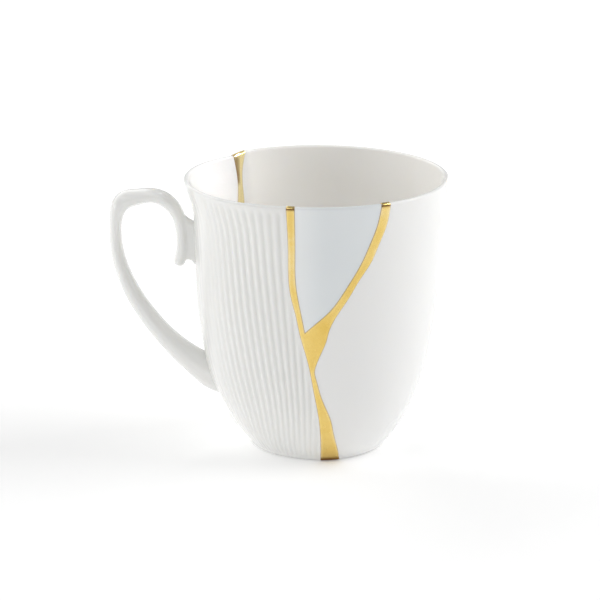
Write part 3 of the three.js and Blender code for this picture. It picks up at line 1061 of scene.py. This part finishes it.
@dataclass(frozen=True)
class Handle:
    """The handle: a strap that follows its spine, and a narrower web between its scroll and the wall.

    Each station of the spine has its place out and up, and the strap's thickness and width there. The
    outline of the web has places out and up.
    """

    spine: Stations = (
        (-29.5, 19.2, 7.4, 9.8), (-35.2, 23.5, 10.8, 10.4), (-39.6, 26.6, 9.6, 10.0),
        (-44.4, 30.3, 8.1, 9.3), (-49.0, 34.5, 7.0, 8.8), (-53.6, 39.6, 6.3, 8.5),
        (-58.3, 45.9, 5.8, 8.2), (-62.3, 52.6, 5.3, 8.0), (-65.2, 59.4, 4.7, 7.9),
        (-67.0, 66.2, 4.2, 7.8), (-67.55, 72.5, 4.0, 7.8), (-67.3, 77.8, 4.3, 7.9),
        (-66.4, 81.4, 5.4, 8.0), (-64.5, 83.8, 6.0, 8.0), (-60.4, 85.0, 5.3, 8.0),
        (-55.9, 85.6, 4.7, 8.0), (-51.6, 84.5, 4.7, 7.9), (-48.5, 82.0, 4.5, 7.7),
        (-46.5, 78.6, 4.2, 7.4), (-45.5, 74.4, 4.0, 7.0), (-45.2, 69.9, 3.9, 6.6),
        (-45.5, 65.9, 3.9, 6.2), (-46.3, 62.9, 3.9, 5.9), (-47.0, 61.3, 3.8, 5.7),
    )
    web: Stations = (
        (-38.0, 75.2), (-41.3, 76.4), (-43.0, 77.4), (-45.4, 79.4), (-45.2, 72.0), (-45.7, 66.0),
        (-46.0, 63.6), (-44.8, 63.5), (-43.3, 63.9), (-42.2, 63.4), (-41.3, 62.3), (-38.0, 60.4),
    )
    web_width: float = 4.6
    web_round: float = 0.9
    web_round_steps: int = 3
    samples: int = 240
    sides: int = 48
    end_closing: float = 0.995
    voxel: float = 0.4
    smoothing: int = 4
    softness: float = 0.5
    cavity_sides: int = 96
    cavity_rows: int = 40
    cavity_above: float = 2.0

    def spine_line(self) -> bpy.types.Object:
        """Builds the strap's middle line, whose points carry its half thickness and its flatness.

        Returns:
            A row of edges from the handle's foot to the end of its scroll.
        """
        stations = np.array(self.spine, float)
        steps = np.hypot(*np.diff(stations[:, :2], axis=0).T)
        place = np.concatenate([[0], np.cumsum(steps)])
        length = place[-1]
        at = np.linspace(0, length, self.samples)
        x, z, thickness, width = (StationCurve(tuple(zip(place, part))).at(at) for part in stations.T)
        from_end = (length - at) / (thickness[-1] / 2)
        closing = np.sqrt(np.clip(1 - np.clip(1 - from_end, 0, self.end_closing) ** 2, 0, 1))
        mesh = bpy.data.meshes.new("strap")
        points = np.stack([x, np.zeros(self.samples), z], axis=-1)
        mesh.from_pydata((points * MM).tolist(), [(i, i + 1) for i in range(self.samples - 1)], [])
        made = bpy.data.objects.new("strap", mesh)
        bpy.context.scene.collection.objects.link(made)
        set_point_values(made, "half_thickness", thickness * closing * MM / 2)
        set_point_values(made, "flatness", width / thickness)
        return made

    def strap(self, glaze: bpy.types.Material) -> bpy.types.Object:
        """Builds the strap with Geometry Nodes, its sections from the thickness and width of its stations.

        Args:
            glaze: The glaze that the strap is left with.

        Returns:
            The strap, closed at its ends.
        """
        sizes = {"Sides": ("NodeSocketInt", self.sides), "Glaze": ("NodeSocketMaterial", glaze)}
        graph, given = new_geometry_tree("strap", sizes)
        line = graph.node("GeometryNodeMeshToCurve", {}, {"Mesh": given.outputs[0]})
        ring = graph.node("GeometryNodeCurvePrimitiveCircle", {}, {
            "Resolution": given.outputs["Sides"], "Radius": 1.0,
        })
        tube = graph.node("GeometryNodeCurveToMesh", {}, {
            "Curve": line.outputs[0], "Profile Curve": ring.outputs[0],
            "Scale": graph.stored("half_thickness"), "Fill Caps": True,
        })
        where = graph.term("GeometryNodeInputPosition")
        parts = graph.node("ShaderNodeSeparateXYZ", {}, {0: where})
        across = Term(graph, parts.outputs[1]) * graph.stored("flatness")
        place = graph.term("ShaderNodeCombineXYZ", {}, {0: parts.outputs[0], 1: across, 2: parts.outputs[2]})
        widened = graph.node("GeometryNodeSetPosition", {}, {"Geometry": tube.outputs[0], "Position": place})
        end_tree(graph, widened.outputs[0], given.outputs["Glaze"])
        return grow_with(self.spine_line(), graph, sizes)

    def web_plate(self) -> bpy.types.Object:
        """Builds the web as a plate with rounded edges.

        Returns:
            The plate, closed.
        """
        outline = np.array(self.web, float)
        count = len(outline)
        sides = [np.insert(outline, 1, place, axis=1) for place in (-self.web_width / 2, self.web_width / 2)]
        faces = [tuple(range(count)), tuple(range(2 * count - 1, count - 1, -1))]
        faces += [(i, (i + 1) % count, (i + 1) % count + count, i + count) for i in range(count)]
        plate = mesh_object("web", np.concatenate(sides), faces)
        bevel = plate.modifiers.new("round", "BEVEL")
        bevel.width = self.web_round * MM
        bevel.segments = self.web_round_steps
        bevel.limit_method = "ANGLE"
        return settled(plate)

    def cavity(self, form: CupForm) -> bpy.types.Object:
        """The space inside the cup out to the middle of its wall, which the handle's ends may not enter.

        Args:
            form: The cup that the handle stands on.

        Returns:
            A closed body to cut the handle with.
        """
        heights = np.linspace(form.floor_height, form.height + self.cavity_above, self.cavity_rows)
        wall = np.minimum(heights, form.height)
        narrower_wall = np.minimum(form.smooth_wall.at(wall), form.ribbed_wall.at(wall))
        radii = narrower_wall - form.thickness(wall) / 2
        angles = np.arange(self.cavity_sides) * 360 / self.cavity_sides
        points = polar(radii[:, None], angles[None], heights[:, None]).reshape(-1, 3)
        numbers = np.arange(len(points)).reshape(self.cavity_rows, self.cavity_sides)
        faces = grid_faces(np.concatenate([numbers, numbers[:, :1]], axis=1))
        faces += [tuple(numbers[row].tolist()) for row in (0, -1)]
        return mesh_object("cavity", points, faces)

    def build(self, form: CupForm, glaze: bpy.types.Material) -> bpy.types.Object:
        """Builds the whole handle, its parts run together as in one casting.

        Args:
            form: The cup that the handle stands on.
            glaze: The ribbed shard's glaze.

        Returns:
            The handle, cut off inside the wall.
        """
        made = joined(self.strap(glaze), self.web_plate(), "UNION")
        remesh = made.modifiers.new("cast", "REMESH")
        remesh.mode = "VOXEL"
        remesh.voxel_size = self.voxel * MM
        remesh.use_smooth_shade = True
        smooth = made.modifiers.new("soften", "SMOOTH")
        smooth.factor = self.softness
        smooth.iterations = self.smoothing
        return joined(settled(made), self.cavity(form), "DIFFERENCE")


@dataclass(frozen=True)
class RibbedShard:
    """The left shard: fluted outside, with a flared lip and the handle."""

    mug: Mug
    glaze: PorcelainGlaze
    flutes: Flutes = Flutes()
    handle: Handle = Handle()
    inner_columns: int = 121
    outer_times: int = 4
    rows_below: int = 50
    rows_above: int = 42
    crease: float = 48.0
    shortest_edge: float = 0.003

    def build(self) -> bpy.types.Object:
        """Builds the shard with its flutes and handle.

        Returns:
            The dressed shard.
        """
        cracks = self.mug.cracks
        sheets = []
        room = []
        line = []
        for side in Side:
            times = self.outer_times if side is Side.OUTER else 1
            shares = np.linspace(0, 1, (self.inner_columns - 1) * times + 1)
            crack = cracks.base_points(cracks.base_left, 1 - shares)
            rows = self.mug.form.rows(side, self.rows_below, self.rows_above)
            back, front = (cracks.angle(seam, rows.height) for seam in (Seam.RIBBED_BACK, Seam.RIBBED_FRONT))
            angles = between(back, front, shares)
            sheets.append(self.mug.sheet(rows, angles, crack, ribbed=True))
            height = np.repeat(rows.height[:, None], len(shares), axis=1)
            deepest = self.flutes.room(self.mug, angles, height)
            room.append((deepest * (side is Side.OUTER)).ravel())
            line.append(self.flutes.rim_angle(angles, height).ravel())
        made = wall_piece("ribbed_shard_glazed", *sheets)
        set_point_values(made, "flute_room", np.concatenate(room))
        set_point_values(made, "flute_angle", np.concatenate(line))
        glaze = self.glaze.material()
        fluted = self.flutes.cut(made, glaze)
        whole = joined(fluted, self.handle.build(self.mug.form, glaze), "UNION")
        made = without_slivers(whole, self.shortest_edge)
        made.data.shade_smooth()
        made.data.set_sharp_from_angle(angle=math.radians(self.crease))
        return made


@dataclass(frozen=True)
class SmoothShard:
    """The right and rear shard, smooth and white."""

    mug: Mug
    glaze: PorcelainGlaze
    columns: int = 190
    rows_below: int = 60
    rows_above: int = 40
    crease: float = 48.0

    def build(self) -> bpy.types.Object:
        """Builds the shard.

        Returns:
            The dressed shard.
        """
        shares = np.linspace(0, 1, self.columns)
        cracks = self.mug.cracks
        crack = cracks.base_points(cracks.base_right, shares)
        sheets = []
        for side in Side:
            rows = self.mug.form.rows(side, self.rows_below, self.rows_above)
            front, back = (cracks.angle(seam, rows.height) for seam in (Seam.SMOOTH_FRONT, Seam.SMOOTH_BACK))
            sheets.append(self.mug.sheet(rows, between(front, back + 360, shares), crack, ribbed=False))
        return dressed(wall_piece("smooth_shard_glazed", *sheets), self.glaze.material(), self.crease)


@dataclass(frozen=True)
class RimShard:
    """The pale triangle at the front of the rim. Its glaze is paler at the left and darker towards the right.
    """

    mug: Mug
    glaze: PorcelainGlaze
    columns: int = 70
    rows_below: int = 2
    rows_above: int = 60
    crease: float = 48.0
    pooling: Span = (-9.0, 4.0)

    def build(self) -> bpy.types.Object:
        """Builds the shard.

        Returns:
            The dressed shard.
        """
        shares = np.linspace(0, 1, self.columns)
        cracks = self.mug.cracks
        sheets = []
        for side in Side:
            rows = self.mug.form.rows(side, self.rows_below, self.rows_above)
            rows = rows.only(rows.height >= self.mug.form.tip_height - HAIR)
            left, right = (cracks.angle(s, rows.height) for s in (Seam.TRIANGLE_LEFT, Seam.TRIANGLE_RIGHT))
            sheets.append(self.mug.sheet(rows, between(left, right, shares), None, ribbed=False))
        made = wall_piece("rim_shard_glazed", *sheets)
        across = np.concatenate([sheet[..., 0].ravel() for sheet in sheets])
        set_point_values(made, "pooled", ease(*self.pooling, across))
        return dressed(made, self.glaze.material(), self.crease)


@dataclass(frozen=True)
class GoldSeam:
    """The gold filling: a fork at the front, across the base, and up the back, through the whole wall.

    Painted shade darkens it, as dark reflections, at the heights that its shades give, and on the inside only
    beside the ribbed shard, by the shares of its width that inner_streak gives.
    """

    mug: Mug
    gold: SeamGold = SeamGold()
    overlap: float = 0.13
    proud: float = 0.2
    sunk: float = 0.05
    rounding: float = 0.7
    fork_run: float = 14.0
    crease: float = 50.0
    foot_shade: Span = (0.5, 2.0)
    rim_shade: Span = (91.2, 92.5)
    inner_shade: tuple[float, float, float, float] = (80.5, 83.0, 90.5, 92.0)
    inner_streak: Span = (0.1, 0.6)
    inner_depth: float = 0.75
    rows_below: int = 130
    rows_above: int = 110
    crack_rows: int = 70
    half_columns: int = 14

    def build(self) -> bpy.types.Object:
        """Builds the gold.

        Returns:
            The dressed gold, with the attributes edge_distance, in millimetres, shade and inside.
        """
        points: list[np.ndarray] = []
        values: dict[str, list[np.ndarray]] = {"edge_distance": [], "shade": [], "inside": []}
        for side in Side:
            base, normals, split_row = self._face(side)
            distance = self._edge_distance(base, split_row)
            raised = base + normals * self._pillow(distance)[..., None]
            raised[..., 2] = np.maximum(raised[..., 2], 0.0)
            points.append(raised.reshape(-1, 3))
            values["edge_distance"].append(distance.ravel())
            values["shade"].append(self._shade(side, raised[..., 2]).ravel())
            values["inside"].append(np.full(distance.size, float(side is Side.INNER)))
        faces = np.array(self._faces(len(distance), split_row))
        kept, numbers = np.unique(faces, return_inverse=True)
        faces = list(map(tuple, numbers.reshape(faces.shape).tolist()))
        made = mesh_object("gold_seam_burnished", np.concatenate(points)[kept], faces)
        for name, parts in values.items():
            set_point_values(made, name, np.concatenate(parts)[kept])
        return dressed(made, self.gold.material(), self.crease)

    def _faces(self, rows: int, split_row: int) -> list[tuple[int, ...]]:
        """Faces of the closed body between the gold's outer and inner face.

        Args:
            rows: Number of rows of each face.
            split_row: The row at the triangle's tip. From there on the two halves share a middle column.

        Returns:
            The vertex numbers of each face. They count through the outer side first, then the inner one.
        """
        middle = self.half_columns
        right = middle + 1
        last = middle + right
        outer, inner = np.arange(2 * rows * (last + 1)).reshape(2, rows, last + 1)
        for numbers in (outer, inner):
            numbers[split_row:, right] = numbers[split_row:, middle]
        faces = []
        for half in (slice(0, right), slice(right, last + 1)):
            faces += grid_faces(outer[:, half]) + grid_faces(inner[:, half])
            for row in (0, -1):
                faces += grid_faces(np.stack([outer[row, half], inner[row, half]]))
        fork_end = split_row + 1
        for column, end in ((0, None), (last, None), (middle, fork_end), (right, fork_end)):
            faces += grid_faces(np.stack([outer[:end, column], inner[:end, column]]))
        return faces

    def _shade(self, side: Side, height: np.ndarray) -> np.ndarray:
        """How much painted shade, as dark reflections, darkens the gold at each place of one face.

        Args:
            side: The outer or the inner face.
            height: Heights by row and column.

        Returns:
            A share of the full darkness for each place.
        """
        if side is Side.INNER:
            start, full, fading, end = self.inner_shade
            streak = 1 - ease(*self.inner_streak, np.linspace(0, 1, height.shape[1]))
            return streak * ease(start, full, height) * (1 - ease(fading, end, height)) * self.inner_depth
        foot = 1 - ease(*self.foot_shade, height)
        low, high = self.rim_shade
        middle = (low + high) / 2
        rim = ease(low, middle, height) * (1 - ease(middle, high, height))
        return foot + rim

    def _pillow(self, distance: np.ndarray) -> np.ndarray:
        """How far the gold stands out of the wall: sunk at its edge, then rounding up to its full height."""
        t = np.clip(distance / self.rounding, 0, 1)
        return -self.sunk + (self.proud + self.sunk) * np.sqrt(1 - (1 - t) ** 2)

    def _across(self) -> np.ndarray:
        """Places of the columns across half of the gold, closer together at its edges."""
        return (1 - np.cos(np.linspace(0, math.pi, self.half_columns + 1))) / 2

    def _angles(self, rows: Rows) -> tuple[np.ndarray, np.ndarray, int]:
        """Where the gold lies round the mug.

        Args:
            rows: The face of the wall in section.

        Returns:
            Its angles by row and column at the front; those at the back; and the row at the triangle's tip.
        """
        form = self.mug.form
        edge = {seam: self.mug.cracks.angle(seam, rows.height) for seam in Seam}
        spread = np.degrees(self.overlap / form.smooth_wall.at(rows.height))
        left = edge[Seam.RIBBED_FRONT] - spread
        right = edge[Seam.SMOOTH_FRONT] + spread
        inner_left = edge[Seam.TRIANGLE_LEFT] + spread
        inner_right = edge[Seam.TRIANGLE_RIGHT] - spread
        forked = rows.height > form.tip_height + HAIR
        at_tip = int(np.argmax(forked)) - 1
        tip_share = (inner_left[at_tip] - left[at_tip]) / (right[at_tip] - left[at_tip])
        share = tip_share + (0.5 - tip_share) * ease(0, self.fork_run, form.tip_height - rows.height)
        middle = left + (right - left) * share
        across = self._across()
        front = np.concatenate([
            between(left, np.where(forked, inner_left, middle), across),
            between(np.where(forked, inner_right, middle), right, across),
        ], axis=1)
        back = between(edge[Seam.RIBBED_BACK] + spread, edge[Seam.SMOOTH_BACK] - spread, self._whole_across())
        return front, back, at_tip

    def _whole_across(self) -> np.ndarray:
        """Places of the columns across the whole gold, whose two halves meet in its middle."""
        return np.concatenate([self._across() / 2, 0.5 + self._across() / 2])

    def _crack(self) -> np.ndarray:
        """The gold across the base, seen from above.

        Returns:
            Places by row, column and coordinate, from its front end to its rear end.
        """
        cracks = self.mug.cracks
        widening = np.array([self.overlap, 0.0])
        shares = np.linspace(0, 1, self.crack_rows)
        left = cracks.base_points(cracks.base_left, shares) - widening
        right = cracks.base_points(cracks.base_right, shares) + widening
        return left[:, None] + (right - left)[:, None] * self._whole_across()[None, :, None]

    def _rear_drop(self, rows: Rows) -> np.ndarray:
        """How much the back seam's upper end is lowered towards the ribbed shard, whose rim is lower.

        Args:
            rows: The face of the wall in section.

        Returns:
            The difference in height by row and column.
        """
        form = self.mug.form
        growing = ease(form.drop_from, form.height, rows.height)[:, None]
        return form.rim_drop * (1 - self._whole_across()[None]) * growing

    def _face(self, side: Side) -> tuple[np.ndarray, np.ndarray, int]:
        """One face of the gold before it is raised.

        Args:
            side: The outer or the inner face.

        Returns:
            The points by row and column, from the front of the rim under the base to the back of the
            rim; their normals; and the row at the triangle's tip, where the fork ends.
        """
        mug = self.mug
        outer = side is Side.OUTER
        rows = mug.form.rows(side, self.rows_below, self.rows_above)
        front, back, at_tip = self._angles(rows)
        crack = self._crack()
        front_points = mug.sheet(rows, front, crack[0], ribbed=False)
        back_points = mug.sheet(rows, back, crack[-1], ribbed=False)
        back_points[..., 2] -= self._rear_drop(rows)
        base_height = mug.form.recess_depth if outer else mug.form.floor_height
        crack_points = np.dstack([crack, np.full(crack.shape[:2], base_height)])[1:-1]
        crack_normals = np.broadcast_to(np.array([0.0, 0.0, -1.0 if outer else 1.0]), crack_points.shape)
        front_normals, back_normals = (
            polar(rows.normal_out[:, None], angles, rows.normal_up[:, None]) for angles in (front, back)
        )
        points = np.concatenate([front_points[::-1], crack_points, back_points])
        normals = np.concatenate([front_normals[::-1], crack_normals, back_normals])
        return points, normals, len(rows.height) - 1 - at_tip

    def _edge_distance(self, points: np.ndarray, split_row: int) -> np.ndarray:
        """Distance of each point to the nearest edge of the gold, along straight lines.

        Args:
            points: One face of the gold, by row, column and coordinate.
            split_row: The row where the fork ends.

        Returns:
            The distance in millimetres by row and column.
        """
        middle = self.half_columns
        fork = points[:split_row + 1]
        lines = [points[:, 0], points[:, -1], fork[:, middle], fork[:, middle + 1]]
        starts = np.concatenate([line[:-1] for line in lines])
        steps = np.concatenate([np.diff(line, axis=0) for line in lines])
        squares = np.maximum((steps**2).sum(axis=1), HAIR**2)
        flat = points.reshape(-1, 3)
        nearest = np.empty(len(flat))
        at_once = 400
        for first in range(0, len(flat), at_once):
            offset = flat[first:first + at_once, None] - starts[None]
            t = np.clip((offset * steps[None]).sum(axis=2) / squares, 0, 1)
            gap = offset - t[..., None] * steps[None]
            nearest[first:first + at_once] = np.sqrt((gap**2).sum(axis=2).min(axis=1))
        return nearest.reshape(points.shape[:2])


# The studio


def turn_towards(direction: Vector) -> Euler:
    """The turn that points an object's -Z along a direction."""
    return direction.to_track_quat("-Z", "Y").to_euler()


@dataclass(frozen=True)
class Softbox:
    """One soft light on a dome round the mug, aimed at its middle or at one spot.

    Azimuths are counted as on the mug. Lengths and places are in metres, and the power is in watts.
    """

    name: str
    azimuth: float
    elevation: float
    power: float
    size: tuple[float, float] = (0.8, 0.5)
    distance: float = 1.5
    spread: float = 180.0
    aim: tuple[float, float, float] = (0.0, 0.0, 0.05)

    def build(self) -> None:
        """Adds the light to the scene."""
        data = bpy.data.lights.new(self.name, "AREA")
        data.shape = "RECTANGLE"
        data.size, data.size_y = self.size
        data.energy = self.power
        data.spread = math.radians(self.spread)
        made = bpy.data.objects.new(self.name, data)
        turn, lift = math.radians(self.azimuth), math.radians(self.elevation)
        from_aim = Vector((math.sin(turn) * math.cos(lift), -math.cos(turn) * math.cos(lift), math.sin(lift)))
        made.location = from_aim * self.distance + Vector(self.aim)
        made.rotation_euler = turn_towards(-from_aim)
        bpy.context.scene.collection.objects.link(made)


@dataclass(frozen=True)
class Studio:
    """White paper, soft lights and the camera at the photograph's viewing angle.

    Places and lengths are in metres, but lens and sensor are in millimetres.
    """

    camera_place: tuple[float, float, float] = (0.0, -1.0, 0.3421)
    pitch_down: float = 16.322
    turn_left: float = 0.3355
    lens: float = 185.69
    sensor: float = 36.0
    floor_reach: float = 1.6
    sky: float = 0.315
    backdrop: float = 0.98
    softboxes: tuple[Softbox, ...] = (
        Softbox("right_box", azimuth=95, elevation=33, power=13.1, size=(1.1, 1.1)),
        Softbox("inside_lamp", azimuth=80, elevation=42, power=0.0043, size=(0.06, 0.06), distance=0.6,
                spread=9, aim=(-0.033, 0.021, 0.087)),
        Softbox("rear_right_box", azimuth=142, elevation=11, power=2.6, size=(1.2, 0.7)),
        Softbox("rear_left_box", azimuth=225, elevation=35, power=11.0, size=(1.8, 1.2)),
        Softbox("front_box", azimuth=314, elevation=42, power=3.8),
        Softbox("left_window", azimuth=288, elevation=10, power=2.1, size=(0.34, 0.3)),
        Softbox("far_left_window", azimuth=255, elevation=8, power=1.0, size=(0.2, 0.3)),
    )

    def build(self, paper: StudioPaint) -> None:
        """Sets up floor, lights, background and camera.

        Args:
            paper: The floor's finish.
        """
        reach = self.floor_reach / MM
        corners = np.array([[-reach, -reach, 0], [reach, -reach, 0], [reach, reach, 0], [-reach, reach, 0]])
        floor = mesh_object("studio_floor", corners, [(0, 1, 2, 3)])
        floor.data.materials.append(paper.material())
        for softbox in self.softboxes:
            softbox.build()
        scene = bpy.context.scene
        scene.world = self.air()
        data = bpy.data.cameras.new("camera")
        data.lens = self.lens
        data.sensor_width = self.sensor
        camera = bpy.data.objects.new("camera", data)
        camera.location = self.camera_place
        camera.rotation_euler = (math.radians(90 - self.pitch_down), 0.0, math.radians(self.turn_left))
        scene.collection.objects.link(camera)
        scene.camera = camera
        scene.view_settings.view_transform = "Standard"

    def air(self) -> bpy.types.World:
        """Builds the white air: bright where it is looked at, and dimmer as a light on the mug.

        Returns:
            The world.
        """
        world = bpy.data.worlds.new("studio_air")
        graph = emptied(world)
        dim, bright = (
            graph.node("ShaderNodeBackground", {}, {"Color": WHITE, "Strength": strength}).outputs[0]
            for strength in (self.sky, self.backdrop)
        )
        seen = graph.term("ShaderNodeLightPath", output="Is Camera Ray")
        mix = graph.node("ShaderNodeMixShader", {}, {0: seen, 1: dim, 2: bright})
        graph.node("ShaderNodeOutputWorld", {}, {"Surface": mix.outputs[0]})
        return world


def main() -> None:
    """Builds the mug's pieces in order, binds each to the frame, and sets up the studio."""
    logging.basicConfig(level=logging.INFO, format="%(name)s: %(message)s")
    mug = Mug()
    # The ribbed and white glazes are lighter inside: painted light on the cup's inner face
    ribbed_glaze = PorcelainGlaze(
        "ribbed_glaze", body=(0.87, 0.87, 0.85), pooled=(0.81, 0.815, 0.79), inner=(0.98, 0.98, 0.975))
    pale_glaze = PorcelainGlaze(
        "pale_blue_glaze", body=(0.90, 0.92, 0.925), pooled=(0.77, 0.805, 0.82), inner=(0.90, 0.89, 0.86))
    white_glaze = PorcelainGlaze(
        "white_glaze", body=(0.88, 0.88, 0.87), pooled=(0.84, 0.84, 0.83), inner=(0.94, 0.925, 0.895))
    pieces = (
        (RibbedShard(mug, ribbed_glaze), "ribbed_shard", "ribbed_glaze"),
        (RimShard(mug, pale_glaze), "rim_shard", "pale_blue_glaze"),
        (SmoothShard(mug, white_glaze), "smooth_shard", "white_glaze"),
        (GoldSeam(mug), "gold_seam", "kintsugi_gold"),
    )
    for builder, node, slot in pieces:
        made = builder.build()
        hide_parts(node)
        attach(made, BODY)
        LOG.info("%s stands for %s, %d faces", made.name, node, len(made.data.polygons))
    Studio().build(StudioPaint())


if __name__ == "__main__":
    main()
